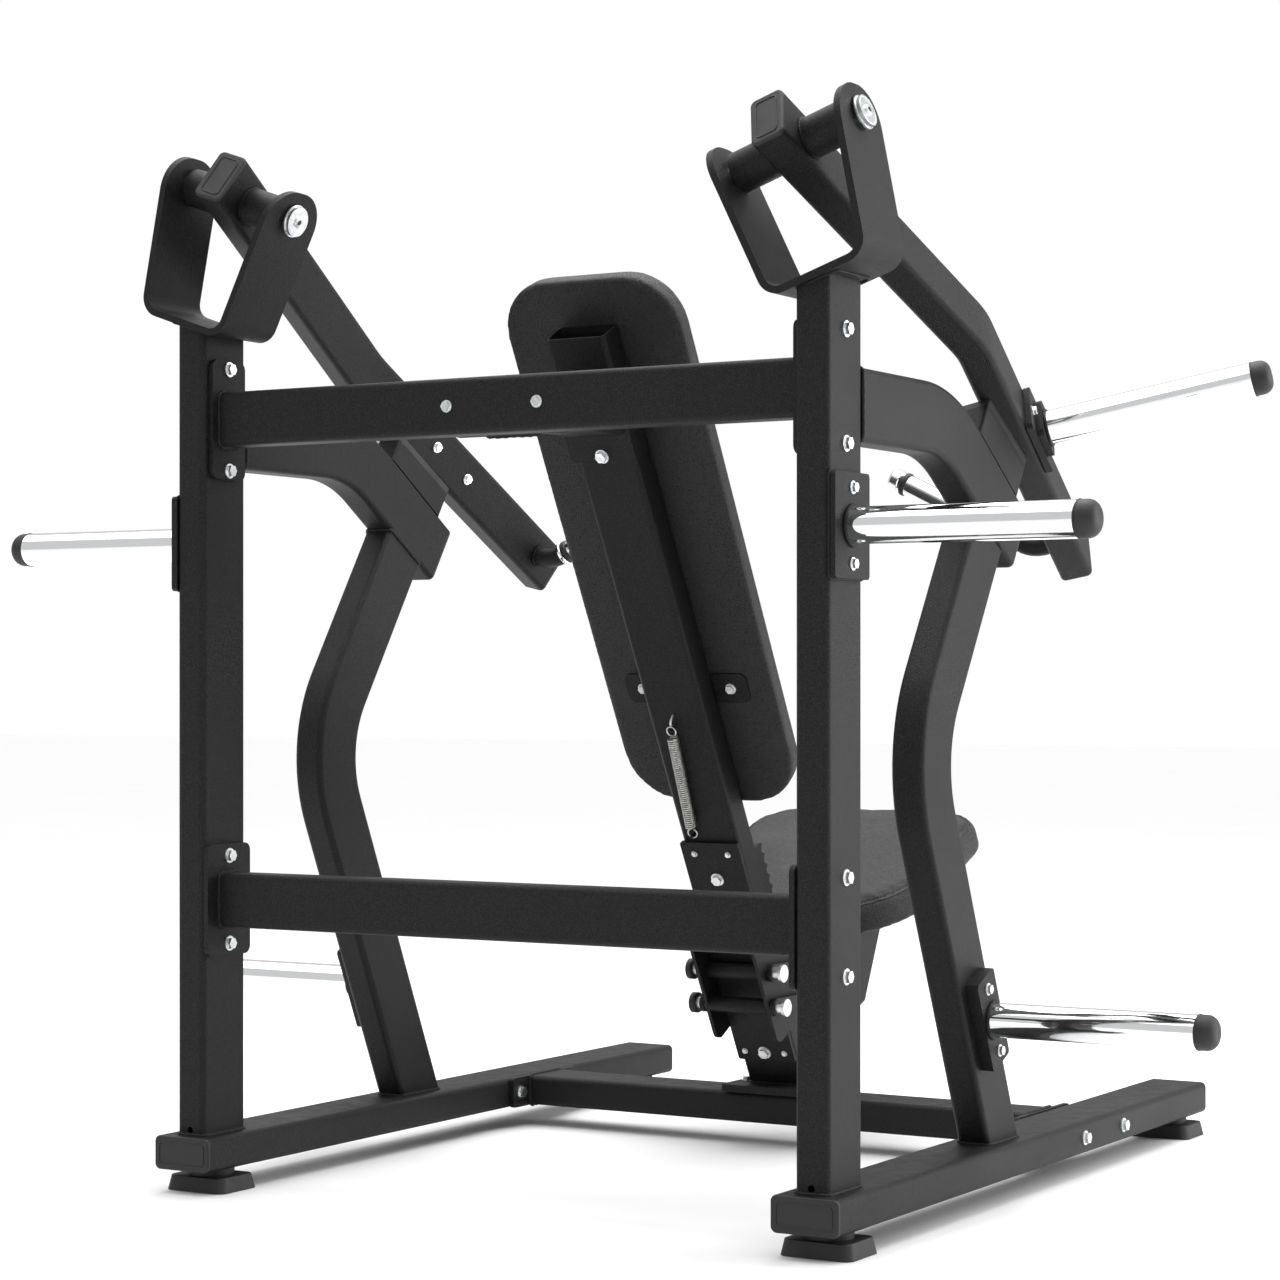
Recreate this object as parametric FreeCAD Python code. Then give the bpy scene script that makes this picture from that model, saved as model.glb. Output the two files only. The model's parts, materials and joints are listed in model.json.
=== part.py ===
"""Plate-loaded chest press: welded frame, two converging press arms and a linkage seat."""
import FreeCAD, Part
import os
from math import atan2, cos, degrees, pi, radians, sin, tan

V = FreeCAD.Vector

# Driving dimensions, in millimetres and degrees. X is the width, -Y is where the user faces, Z is up.
# Y is measured from the middle of the rear posts and Z from the underside of the base tubes.
TUBE_WIDE = 100.0          # long side of every frame tube
TUBE_THIN = 50.0           # short side of every frame tube
TUBE_CORNER = 9.0          # outside corner radius of the tubes
TUBE_WALL = 3.0
FRAME_HALF = 514.0         # middle plane of each side frame
BASE_REAR = 66.0           # base tube behind the posts' middle
BASE_FRONT = 1281.0        # base tube in front of it
FOOT_HEIGHT = 34.0
FOOT_LENGTH = 88.0
FOOT_NECK = 12.0
CROSSBAR_TALL = 80.0
CROSSBAR_DEEP = 50.0
UPPER_BAR_Z = 1105.0
LOWER_BAR_Z = 396.0
FLANGE = 8.0               # thickness of the tubes' end flanges
UPPER_FLANGE = (76.0, 176.0)
LOWER_FLANGE = (100.0, 165.0)
CROSS_MEMBER_Y = -835.0
CROSS_BOLTS = 156.0        # between the bolts of its end flanges

RAIL_Z = 1085.0            # middle of the side rail where it is level
RAIL_BEND_Y = -330.0
RAIL_DROP = 33.4           # slope of its front stretch
RAIL_FRONT = 284.0         # length of that stretch, from the bend's corner
RAIL_RADIUS = 250.0
LEG_OFFSET = 88.0          # leg's middle plane behind the rail's end
LEG_BEND = (-257.7, 615.9)
LEG_RAKE = 24.2            # lean of the lower leg from vertical
LEG_RADIUS = 200.0

PIVOT_X = 462.6            # middle of the press arm's pivot
PIVOT_Z = 1426.0
PIVOT_TILT = 19.0          # outer end of the pivot stands higher
BRACKET_GAP = 186.0        # between the bracket's ears at the pivot
BRACKET_PLATE = 10.0
BRACKET_WIDE = 120.0
BRACKET_DROP = 194.0       # pivot axis to the bracket's underside
BRACKET_SPLAY = 7.5        # lean of each ear
BRACKET_BEND = 26.0
EAR_TOP = 41.0             # ear above the pivot axis
EAR_CORNER = 54.0
PIVOT_PIN = 25.0           # pin diameter
PIN_CLEARANCE = 0.05
PIN_CAP = (44.0, 6.0)
HOUSING_OUTER = 57.0
SIDE_GAP = 1.0             # housing to washers

ARM_TALL = 80.0            # long side of the arm's tube
ARM_DROP = 29.1            # slope of the resting arm in its own swing plane
ARM_REAR = 62.0            # tube behind the pivot
ARM_BEND = 465.0
ARM_LENGTH = 1015.0
ARM_KINK = 14.05
ARM_RADIUS = 170.0
CAP = 5.0                  # plastic plug's flange
HANDLE_AT = 962.0          # along the arm
HANDLE_TUBE = 32.0
HANDLE_STUB = 54.0
HANDLE_TURN = 45.0
HANDLE_RADIUS = 60.0
GRIP = 35.0
GRIP_LENGTH = 250.0

HORN = 50.0                # Olympic sleeve
HORN_LENGTH = 317.0
HORN_CAP = 28.0            # length of its rubber cap, flush with the sleeve
HORN_PLATE = (100.0, 140.0, 10.0)
ARM_PLATE = (76.0, 120.0, 10.0)
LEG_PLATE = (60.0, 140.0, 20.0)
ARM_HORN_LENGTH = 306.0
POST_HORN_Z = 922.0
LEG_HORN_Z = 235.0
ARM_HORN_AT = 700.0
STOP_AT = (92.0, 250.0)    # stretch of the rail's slope that carries the stop
STOP_WIDE = 44.0
STOP_RUBBER = 10.0
REST_GAP = 0.4

BACK_LEAN = 28.4           # back post and backrest from vertical
BACK_TOP_Z = 1217.0        # back post's rear edge at its top
BACK_TOP_Y = -192.0
PAD = (298.0, 880.0, 46.0)
PAD_BOTTOM_Z = 504.0
PAD_CORNER = 85.0
BOARD = 14.0
SADDLE = (120.0, 34.0)    # height on the back post and depth of its side lips
WING = (216.0, 50.0, 5.0)  # strip let into the backrest's rear and bolted through its ends
WING_Z = 684.0
PAD_MARGIN = 3.0

SEAT = (430.0, 405.0, 56.0)
SEAT_TILT = 22.0
SEAT_REAR = (-826.0, 300.0)   # lower rear edge of the seat board
SEAT_BOARD = 12.0
SEAT_CORNERS = (75.0, 150.0)  # front and rear
LINK_REAR = ((-686.0, 257.0), (-697.0, 202.0))
LINK_LENGTH = 260.0
LINK_RISE = 0.0
LINK = (28.0, 8.0)
LINK_PIN = 20.0
LOOSE = 0.3
PLATE = 6.0
WASHER_GAP = 2.0
RACK = (26.0, 383.0, 106.0)  # reach, middle height and length of the notched racks
RACK_X = 38.0
LEVER_ROD = 12.0
SPRING = (19.0, 650.0, 483.0)  # coil diameter and the heights of its eyes on the back post
EYE_LIFT = 11.0

parts = {}


def box(x0, x1, y0, y1, z0, z1):
    return Part.makeBox(x1 - x0, y1 - y0, z1 - z0, V(x0, y0, z0))


def rod(diameter, start, axis, length):
    return Part.makeCylinder(diameter / 2, length, start, axis)


def rounded_face(centre, side, up, wide, tall, corner):
    """Rounded rectangle about centre; side and up are its unit directions."""
    def at(u, v):
        return centre + side * u + up * v
    x = wide / 2
    y = tall / 2
    if corner <= 0:
        ring = [at(-x, -y), at(x, -y), at(x, y), at(-x, y), at(-x, -y)]
        return Part.Face(Part.makePolygon(ring))
    k = corner * (1 - cos(pi / 4))
    edges = []
    for sx, sy in ((1, 1), (-1, 1), (-1, -1), (1, -1)):
        first = at(sx * x, sy * (y - corner))
        middle = at(sx * (x - k), sy * (y - k))
        last = at(sx * (x - corner), sy * y)
        if sx * sy < 0:
            first, last = last, first
        edges.append((first, middle, last))
    outline = []
    for number, (first, middle, last) in enumerate(edges):
        outline.append(Part.Arc(first, middle, last).toShape())
        following = edges[(number + 1) % 4][0]
        if (following - last).Length > 1e-6:
            outline.append(Part.LineSegment(last, following).toShape())
    return Part.Face(Part.Wire(outline))


def tube_run(points, normal, wide, tall, corner, radius):
    """Solid bar through points: wide along normal, tall across it, with arcs of radius at the bends."""
    pieces = []
    start = points[0]
    for index in range(1, len(points)):
        way = (points[index] - points[index - 1]).normalize()
        side = normal.cross(way)
        end = points[index]
        turn = 0.0
        if index < len(points) - 1:
            following = (points[index + 1] - points[index]).normalize()
            turn = atan2(way.cross(following).dot(normal), way.dot(following))
            end = points[index] - way * (radius * tan(abs(turn) / 2))
        pieces.append(rounded_face(start, normal, side, wide, tall, corner).extrude(end - start))
        if turn:
            hub = end + side * (radius if turn > 0 else -radius)
            bend = rounded_face(end, normal, side, wide, tall, corner)
            pieces.append(bend.revolve(hub, normal, degrees(turn)))
            start = points[index] + following * (radius * tan(abs(turn) / 2))
    return pieces[0].multiFuse(pieces[1:]).removeSplitter() if len(pieces) > 1 else pieces[0]


def tube(points, normal, wide, tall, radius=0.0):
    """Hollow frame tube."""
    outer = tube_run(points, normal, wide, tall, TUBE_CORNER, radius)
    inner = tube_run(points, normal, wide - 2 * TUBE_WALL, tall - 2 * TUBE_WALL,
                     TUBE_CORNER - TUBE_WALL, radius)
    return outer.cut(inner)


def plug(centre, way, normal, wide, tall):
    """Plastic end plug: a flange on the tube's end and a body inside it."""
    side = normal.cross(way)
    flange = rounded_face(centre, normal, side, wide, tall, TUBE_CORNER).extrude(way * CAP)
    rim = [edge for edge in flange.Edges if all((v.Point - centre).dot(way) > CAP - 0.01 for v in edge.Vertexes)]
    flange = flange.makeFillet(CAP * 0.6, rim)
    inside = rounded_face(centre, normal, side, wide - 2 * TUBE_WALL, tall - 2 * TUBE_WALL,
                          TUBE_CORNER - TUBE_WALL).extrude(way * (-4 * CAP))
    return flange.fuse(inside)


def hexagon(start, axis, across, height):
    axis = V(axis).normalize()
    side = V(0, 0, 1).cross(axis)
    if side.Length < 0.1:
        side = V(1, 0, 0)
    side.normalize()
    up = axis.cross(side)
    reach = across / 2 / cos(pi / 6)
    ring = [start + side * (reach * cos(n * pi / 3)) + up * (reach * sin(n * pi / 3)) for n in range(7)]
    return Part.Face(Part.makePolygon(ring)).extrude(axis * height)


def bolt_head(start, axis, diameter):
    """Washer and hexagon head standing on a face."""
    axis = V(axis).normalize()
    washer = rod(2.2 * diameter, start, axis, 0.18 * diameter)
    return washer.fuse(hexagon(start + axis * (0.18 * diameter), axis, 1.5 * diameter, 0.62 * diameter))


def bolt(start, axis, grip, diameter):
    """Through bolt: head at start, nut at the other end of the grip."""
    axis = V(axis).normalize()
    shank = rod(diameter, start - axis, axis, grip + 2)
    return bolt_head(start, -axis, diameter).fuse([bolt_head(start + axis * grip, axis, diameter), shank])


def drilled(shape, start, axis, length, diameter):
    return shape.cut(rod(diameter, start, V(axis).normalize(), length))


def at_back(height):
    """Y of the back post's rear face at a height."""
    return BACK_TOP_Y - (BACK_TOP_Z - height) * tan(radians(BACK_LEAN))


def both(name, shape):
    """Left piece as drawn, right piece mirrored."""
    parts[name + "_left"] = shape
    parts[name + "_right"] = shape.mirror(V(0, 0, 0), V(1, 0, 0))


INNER = FRAME_HALF - TUBE_THIN / 2
OUTER = FRAME_HALF + TUBE_THIN / 2
BASE_TOP = TUBE_THIN
X, Y, Z = V(1, 0, 0), V(0, 1, 0), V(0, 0, 1)
BOLT = 10.0
SMALL_BOLT = 8.0
PLATE_BOLT = 4.5
HOLE_GAP = 1.0
DRAIN = 10.0

# Local directions of the left pivot and arm.
tilt = radians(PIVOT_TILT)
drop = radians(ARM_DROP)
PIVOT = V(PIVOT_X, 0, PIVOT_Z)
AXIS = V(cos(tilt), 0, sin(tilt))
RISE = V(-sin(tilt), 0, cos(tilt))
ALONG = V(0, -cos(drop), 0) - RISE * sin(drop)
ARM_UP = AXIS.cross(ALONG) * -1
if ARM_UP.z < 0:
    ARM_UP = ARM_UP * -1
kink = radians(ARM_KINK)
LOWER_WAY = ALONG * cos(kink) - AXIS * sin(kink)
LOWER_OUT = AXIS * cos(kink) + ALONG * sin(kink)


def on_arm(distance):
    """Middle of the arm's tube at a distance along the arm from the pivot."""
    past = max(distance - ARM_BEND, 0.0)
    return PIVOT + ALONG * distance - AXIS * (past * tan(kink))


# Base tubes, plugs, feet
base = tube([V(FRAME_HALF, BASE_REAR, TUBE_THIN / 2), V(FRAME_HALF, -BASE_FRONT, TUBE_THIN / 2)], X,
            TUBE_WIDE, TUBE_THIN)
base_bolt_y = [CROSS_MEMBER_Y - CROSS_BOLTS / 2, CROSS_MEMBER_Y + CROSS_BOLTS / 2]
for y in base_bolt_y:
    base = drilled(base, V(FRAME_HALF - 60, y, TUBE_THIN / 2), X, 120, BOLT + HOLE_GAP)
both("base_tube", base)


def foot(y):
    """Tapered rubber pad under a round neck."""
    low = rounded_face(V(FRAME_HALF, y, -FOOT_HEIGHT), X, Y, TUBE_WIDE + 8, FOOT_LENGTH, 14)
    high = rounded_face(V(FRAME_HALF, y, -FOOT_NECK), X, Y, TUBE_WIDE, FOOT_LENGTH - 8, 14)
    pad = Part.makeLoft([low.OuterWire, high.OuterWire], True, True)
    pad = pad.makeFillet(2.0, [e for e in pad.Edges if abs(e.BoundBox.ZMax + FOOT_NECK) < 0.01
                               and e.BoundBox.ZLength < 0.01])
    return pad.fuse(rod(68, V(FRAME_HALF, y, -FOOT_NECK - 1), Z, FOOT_NECK + 1))


both("foot_rear", foot(0.0))
both("foot_front", foot(FOOT_LENGTH / 2 + 8 - BASE_FRONT))

# Rear posts: cut to the bracket's slant at the top
post_bottom = V(FRAME_HALF, 0, BASE_TOP)
post = tube([post_bottom, V(FRAME_HALF, 0, PIVOT_Z)], Y, TUBE_WIDE, TUBE_THIN)
seat_plane = PIVOT - RISE * BRACKET_DROP
above = Part.makeBox(600, 600, 600, V(-300, -300, 0))
above.Placement = FreeCAD.Placement(seat_plane, FreeCAD.Rotation(V(0, 1, 0), -PIVOT_TILT))
post = post.cut(above)
bar_bolts = [(UPPER_BAR_Z, 75.0), (LOWER_BAR_Z, 65.0)]
for height, half in bar_bolts:
    for z in (height - half, height + half):
        post = drilled(post, V(INNER - 10, 0, z), X, TUBE_THIN + 20, BOLT + HOLE_GAP)
for z in (BASE_TOP + 8, seat_plane.z + 4):
    post = drilled(post, V(FRAME_HALF, 20, z), Y, 60, DRAIN)
both("rear_post", post)

# Pivot bracket: a bent plate on the post's slanted top, with splayed round-topped ears
splay = tan(radians(BRACKET_SPLAY))


def in_pivot(a, y, w):
    return PIVOT + AXIS * a + Y * y + RISE * w


half_gap = BRACKET_GAP / 2 + BRACKET_PLATE / 2
low = -BRACKET_DROP + BRACKET_PLATE / 2
half_low = half_gap + low * splay
half_high = half_gap + (EAR_TOP + 20) * splay
u_line = [in_pivot(-half_high, 0, EAR_TOP + 20), in_pivot(-half_low, 0, low),
          in_pivot(half_low, 0, low), in_pivot(half_high, 0, EAR_TOP + 20)]
bracket = tube_run(u_line, Y, BRACKET_WIDE, BRACKET_PLATE, 0, BRACKET_BEND)
ear_face = rounded_face(in_pivot(-300, 0, (EAR_TOP - BRACKET_DROP - 60) / 2), Y, RISE, BRACKET_WIDE,
                        EAR_TOP + BRACKET_DROP + 60, EAR_CORNER)
bracket = bracket.common(ear_face.extrude(AXIS * 600))
bracket = drilled(bracket, in_pivot(-300, 0, 0), AXIS, 600, PIVOT_PIN)
both("pivot_bracket", bracket)

pin_half = BRACKET_GAP / 2 + BRACKET_PLATE + 4
pin = rod(PIVOT_PIN, in_pivot(-pin_half, 0, 0), AXIS, 2 * pin_half)
for way in (AXIS, AXIS * -1):
    end = PIVOT + way * pin_half
    pin = pin.fuse([rod(PIN_CAP[0] + 4, end, way, 2), rod(PIN_CAP[0], end + way * 2, way, PIN_CAP[1])])
both("pivot_pin", pin)

# Crossbars with end flanges
for name, height, (deep, tall), half in (("upper_crossbar", UPPER_BAR_Z, UPPER_FLANGE, 75.0),
                                         ("lower_crossbar", LOWER_BAR_Z, LOWER_FLANGE, 65.0)):
    reach = INNER - FLANGE
    bar = tube([V(-reach, 0, height), V(reach, 0, height)], Y, CROSSBAR_DEEP, CROSSBAR_TALL)
    for side in (-1, 1):
        flange = rounded_face(V(side * reach, 0, height), Y, Z, deep, tall, 12).extrude(X * (side * FLANGE))
        bar = bar.fuse(flange)
        for z in (height - half, height + half):
            bar = drilled(bar, V(side * (reach + FLANGE / 2) - 20, 0, z), X, 40, BOLT + HOLE_GAP)
    if name == "upper_crossbar":
        for x in (-75.0, 75.0):
            bar = drilled(bar, V(x, -50, height), Y, 100, SMALL_BOLT + HOLE_GAP)
    parts[name] = bar.removeSplitter()

# Cross member between the base tubes
reach = FRAME_HALF - TUBE_WIDE / 2 - FLANGE
member = tube([V(-reach, CROSS_MEMBER_Y, TUBE_THIN / 2), V(reach, CROSS_MEMBER_Y, TUBE_THIN / 2)], Z,
              TUBE_THIN, TUBE_WIDE)
for side in (-1, 1):
    flange = rounded_face(V(side * reach, CROSS_MEMBER_Y, TUBE_THIN / 2), Y, Z, CROSS_BOLTS + 44, TUBE_THIN, 6)
    member = member.fuse(flange.extrude(X * (side * FLANGE)))
    for y in base_bolt_y:
        member = drilled(member, V(side * (reach + FLANGE / 2) - 20, y, TUBE_THIN / 2), X, 40, BOLT + HOLE_GAP)
for x in (-64.0, 64.0):
    member = drilled(member, V(x, CROSS_MEMBER_Y, -5), Z, 70, SMALL_BOLT + HOLE_GAP)
parts["cross_member"] = member.removeSplitter()

bolts = []
for height, half in bar_bolts:
    for z in (height - half, height + half):
        bolts.append(bolt(V(OUTER, 0, z), X * -1, TUBE_THIN + FLANGE, BOLT))
for y in base_bolt_y:
    bolts.append(bolt(V(FRAME_HALF + TUBE_WIDE / 2, y, TUBE_THIN / 2), X * -1, TUBE_WIDE + FLANGE, BOLT))

# Side rail: level behind, sloping down in front
slope = radians(RAIL_DROP)
rail_way = V(0, -cos(slope), -sin(slope))
rail_corner = V(FRAME_HALF, RAIL_BEND_Y, RAIL_Z)
rail_end = rail_corner + rail_way * RAIL_FRONT
rail_line = [V(FRAME_HALF, -TUBE_WIDE / 2, RAIL_Z), rail_corner, rail_end]
both("side_rail", tube(rail_line, X, TUBE_THIN, TUBE_WIDE, RAIL_RADIUS))
rail_solid = tube_run(rail_line, X, TUBE_THIN, TUBE_WIDE, TUBE_CORNER, RAIL_RADIUS)

# Front leg: square to the rail's slope above, raked forward below
leg_top = rail_end - rail_way * LEG_OFFSET
leg_bend = V(FRAME_HALF, *LEG_BEND)
rake = radians(LEG_RAKE)
leg_foot = leg_bend - V(0, tan(rake), 1) * (LEG_BEND[1] - BASE_TOP + 60)
leg_line = [leg_top, leg_bend, leg_foot]
leg = tube(leg_line, X, TUBE_THIN, TUBE_WIDE, LEG_RADIUS)
leg = leg.cut(rail_solid).cut(box(300, 800, -2000, 200, -400, BASE_TOP))
both("front_leg", leg)


def on_leg(height):
    return V(FRAME_HALF, LEG_BEND[0] - (LEG_BEND[1] - height) * tan(rake), height)


plugs = [plug(V(FRAME_HALF, BASE_REAR, TUBE_THIN / 2), Y, X, TUBE_WIDE, TUBE_THIN),
         plug(V(FRAME_HALF, -BASE_FRONT, TUBE_THIN / 2), Y * -1, X, TUBE_WIDE, TUBE_THIN),
         plug(rail_end, rail_way, X, TUBE_THIN, TUBE_WIDE)]
both("tube_plugs", Part.makeCompound(plugs))

# Weight storage horns on posts and legs
leg_way = V(0, -sin(rake), -cos(rake))
post_plate = rounded_face(V(OUTER, 0, POST_HORN_Z), Y, Z, HORN_PLATE[0], HORN_PLATE[1], 6).extrude(X * HORN_PLATE[2])
leg_hub = on_leg(LEG_HORN_Z)
leg_hub.x = OUTER
leg_plate = rounded_face(leg_hub, X.cross(leg_way), leg_way, LEG_PLATE[0], LEG_PLATE[1], 6).extrude(X * LEG_PLATE[2])
both("horn_plates", Part.makeCompound([post_plate, leg_plate]))
for centre, way in ((V(OUTER + HORN_PLATE[2], 0, POST_HORN_Z), Z), (leg_hub + X * LEG_PLATE[2], leg_way)):
    for side in (-1, 1):
        bolts.append(bolt_head(centre + way * (side * 50), X, SMALL_BOLT))
post_horn = rod(HORN, V(OUTER + HORN_PLATE[2], 0, POST_HORN_Z), X, HORN_LENGTH)
leg_horn = rod(HORN, leg_hub + X * LEG_PLATE[2], X, HORN_LENGTH - LEG_PLATE[2] + HORN_PLATE[2])
both("post_horn", post_horn)
both("leg_horn", leg_horn)
horn_end = OUTER + HORN_PLATE[2] + HORN_LENGTH


def horn_cap(centre, way):
    """Domed rubber end cap, flush with its sleeve."""
    cap = rod(HORN, centre, way, HORN_CAP)
    outer_rim = [e for e in cap.Edges if e.Closed and (e.CenterOfMass - centre).dot(way) > HORN_CAP / 2]
    return cap.makeFillet(HORN_CAP * 0.55, outer_rim)


both("horn_caps", Part.makeCompound([horn_cap(V(horn_end, 0, POST_HORN_Z), X),
                                     horn_cap(V(horn_end, leg_hub.y, leg_hub.z), X)]))

# Back post, its brackets and the backrest
lean = radians(BACK_LEAN)
back_up = V(0, sin(lean), cos(lean))
back_rear = V(0, cos(lean), -sin(lean))


def on_back(height, behind=0.0):
    """On the back post's middle plane, behind its rear face."""
    return V(0, at_back(height), height) + back_rear * behind


back_middle = -TUBE_THIN / 2
back_plate_z = BASE_TOP + 12
top = on_back(BACK_TOP_Z, back_middle)
foot_point = top - back_up * ((BACK_TOP_Z - back_plate_z) / cos(lean) + 60)
back_post = tube([top, foot_point], X, TUBE_WIDE, TUBE_THIN)
back_post = back_post.cut(box(-200, 200, -1200, 0, -300, back_plate_z))
foot_plate = rounded_face(V(0, CROSS_MEMBER_Y, BASE_TOP), X, Y, 158, 126, 8).extrude(Z * 12)
for x in (-64.0, 64.0):
    foot_plate = drilled(foot_plate, V(x, CROSS_MEMBER_Y, 0), Z, 100, SMALL_BOLT + HOLE_GAP)
plate_wide = 112.0
bar_front = -CROSSBAR_DEEP / 2
racks = []
for x in (-RACK_X - PLATE, RACK_X):
    rack = rounded_face(on_back(RACK[1], -TUBE_THIN) + X * x, back_rear, back_up, 2 * RACK[0], RACK[2], 8)
    rack = rack.extrude(X * PLATE)
    for step in range(5):
        notch = on_back(RACK[1], -TUBE_THIN - RACK[0] - 2) + back_up * ((step - 2) * RACK[2] / 5.5)
        rack = drilled(rack, notch - X * 100, X, 200, 16)
    racks.append(rack.cut(tube_run([top, foot_point], X, TUBE_WIDE, TUBE_THIN, TUBE_CORNER, 0)))
parts["back_post"] = back_post.fuse([foot_plate] + racks)

# Bracket from the upper crossbar to the back post
bar_plate = rounded_face(V(0, bar_front, UPPER_BAR_Z), X, Z, 190, CROSSBAR_TALL, 6).extrude(Y * -FLANGE)
for x in (-75.0, 75.0):
    bar_plate = drilled(bar_plate, V(x, -100, UPPER_BAR_Z), Y, 100, SMALL_BOLT + HOLE_GAP)
strut = tube([V(0, bar_front - FLANGE, UPPER_BAR_Z), V(0, -420, UPPER_BAR_Z)], X, TUBE_WIDE, TUBE_THIN)
saddle_middle = on_back(UPPER_BAR_Z - 5)
beyond = Part.makeBox(800, 800, 1200, V(-400, -800, -600))
beyond.Placement = FreeCAD.Placement(saddle_middle + back_rear * FLANGE, FreeCAD.Rotation(X, -BACK_LEAN))
saddle = rounded_face(saddle_middle, X, back_up, plate_wide, SADDLE[0], 10).extrude(back_rear * FLANGE)
lip_middle = saddle_middle + back_rear * (FLANGE - SADDLE[1] / 2)
lips = [rounded_face(lip_middle + X * x, back_rear, back_up, SADDLE[1], SADDLE[0], 6).extrude(X * PLATE)
        for x in (-TUBE_WIDE / 2 - PLATE, TUBE_WIDE / 2)]
post_bracket = bar_plate.fuse([strut.cut(beyond), saddle] + lips)
parts["post_bracket"] = post_bracket
bolts_middle = [bolt(V(x, -bar_front, UPPER_BAR_Z), Y * -1, CROSSBAR_DEEP + FLANGE, SMALL_BOLT) for x in (-75.0, 75.0)]
bolts_middle += [bolt(V(x, CROSS_MEMBER_Y, back_plate_z), Z * -1, 12 + TUBE_THIN, SMALL_BOLT) for x in (-64.0, 64.0)]
bolts_middle.append(bolt_head(on_back(UPPER_BAR_Z - 50, FLANGE), back_rear, BOLT))

# Backrest: board on the post's front face, upholstered pad on the board
pad_lift = PAD_BOTTOM_Z
pad_foot = on_back(pad_lift, -TUBE_THIN)
pad_centre = pad_foot + back_up * (PAD[1] / 2)


def backrest(wide, tall, corner, behind, thick):
    face = rounded_face(pad_centre + back_rear * behind, X, back_up, wide, tall, corner)
    return face.extrude(back_rear * -thick)


wing_face = rounded_face(on_back(WING_Z, -TUBE_THIN), X, back_up, WING[0], WING[1], 12)
parts["pad_bracket"] = wing_face.extrude(back_rear * -WING[2])
board = backrest(PAD[0] - 2 * PAD_MARGIN, PAD[1] - 2 * PAD_MARGIN, PAD_CORNER - PAD_MARGIN, 0.0, BOARD)
recess = rounded_face(on_back(WING_Z, -TUBE_THIN), X, back_up, WING[0] + 2, WING[1] + 2, 13)
board = board.cut(recess.extrude(back_rear * -(WING[2] + 0.5)))
bolts_middle += [bolt_head(on_back(WING_Z, -TUBE_THIN) + X * x, back_rear, 8) for x in (-78.0, 78.0)]
parts["back_board"] = board
pad = backrest(PAD[0], PAD[1], PAD_CORNER, -BOARD, PAD[2] - BOARD)
pad = pad.makeFillet(12.0, [e for e in pad.Edges if abs((e.CenterOfMass - pad_centre).dot(back_rear) + PAD[2]) < 1.0])
parts["back_pad"] = pad

# Seat bracket: plate on the post's rear face with two cheeks that carry the link shafts
cheek_in = TUBE_WIDE / 2 + 2
cheek_out = cheek_in + PLATE
bracket_low = 106.0
bracket_high = 468.0
plate_middle = on_back((bracket_low + bracket_high) / 2)
plate_long = (bracket_high - bracket_low) / cos(lean)
seat_plate = rounded_face(plate_middle, X, back_up, 2 * cheek_in, plate_long, 4).extrude(back_rear * PLATE)
cheek_centre = on_back(250.0, -4.0)
cheek = rounded_face(V(cheek_in, cheek_centre.y, cheek_centre.z), back_rear, back_up, 108, 200, 16)
cheek = cheek.extrude(X * PLATE)
shaft_points = [V(0, y, z) for y, z in LINK_REAR]
seat_bracket = seat_plate
for side in (-1, 1):
    one = cheek if side > 0 else cheek.mirror(V(0, 0, 0), X)
    seat_bracket = seat_bracket.fuse(one)
link_in = cheek_out + WASHER_GAP
link_out = link_in + LINK[1]
frame_in = link_out + WASHER_GAP
frame_out = frame_in + PLATE
shaft_half = frame_out + 4
window = Part.makeBox(2 * cheek_in - 20, 60, 84, V(-cheek_in + 10, -30, -42))
window.Placement = FreeCAD.Placement((shaft_points[0] + shaft_points[1]) * 0.5, FreeCAD.Rotation(X, -BACK_LEAN))
shafts = []
for point in shaft_points:
    seat_bracket = drilled(seat_bracket, point - X * 200, X, 400, LINK_PIN)
    shaft = rod(LINK_PIN, point - X * shaft_half, X, 2 * shaft_half)
    head = 2.0 * LINK_PIN
    shafts.append(shaft.fuse([rod(head * 0.7, point + X * (side * shaft_half), X * side, 5) for side in (-1, 1)]))
parts["seat_bracket"] = seat_bracket
for z, x, size in ((bracket_high - 18, -30, PLATE_BOLT), (bracket_high - 18, 30, PLATE_BOLT), (bracket_high - 58, 0, BOLT),
                   (bracket_low + 15, -36, PLATE_BOLT), (bracket_low + 15, 0, BOLT), (bracket_low + 15, 36, PLATE_BOLT)):
    bolts_middle.append(bolt_head(on_back(z, PLATE) + X * x, back_rear, size))
parts["centre_bolts"] = Part.makeCompound(bolts_middle + shafts)
both("frame_bolts", Part.makeCompound(bolts))

# Links, seat frame, seat and lever
rise = radians(LINK_RISE)
link_way = V(0, -cos(rise), sin(rise))


def link_pair(start, front_gap):
    """Two straight links, one each side of the post."""
    end = start + link_way * LINK_LENGTH
    up = X.cross(link_way)
    pair = []
    for side in (-1, 1):
        near = X * (link_in if side > 0 else -link_out)
        bar = rounded_face((start + end) * 0.5 + near, link_way, up, LINK_LENGTH + LINK[0], LINK[0], LINK[0] / 2 - 0.1)
        bar = bar.extrude(X * LINK[1])
        bar = drilled(bar, start - X * 200, X, 400, LINK_PIN + 2 * PIN_CLEARANCE)
        pair.append(drilled(bar, end - X * 200, X, 400, LINK_PIN + 2 * front_gap))
    return Part.makeCompound(pair)


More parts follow.
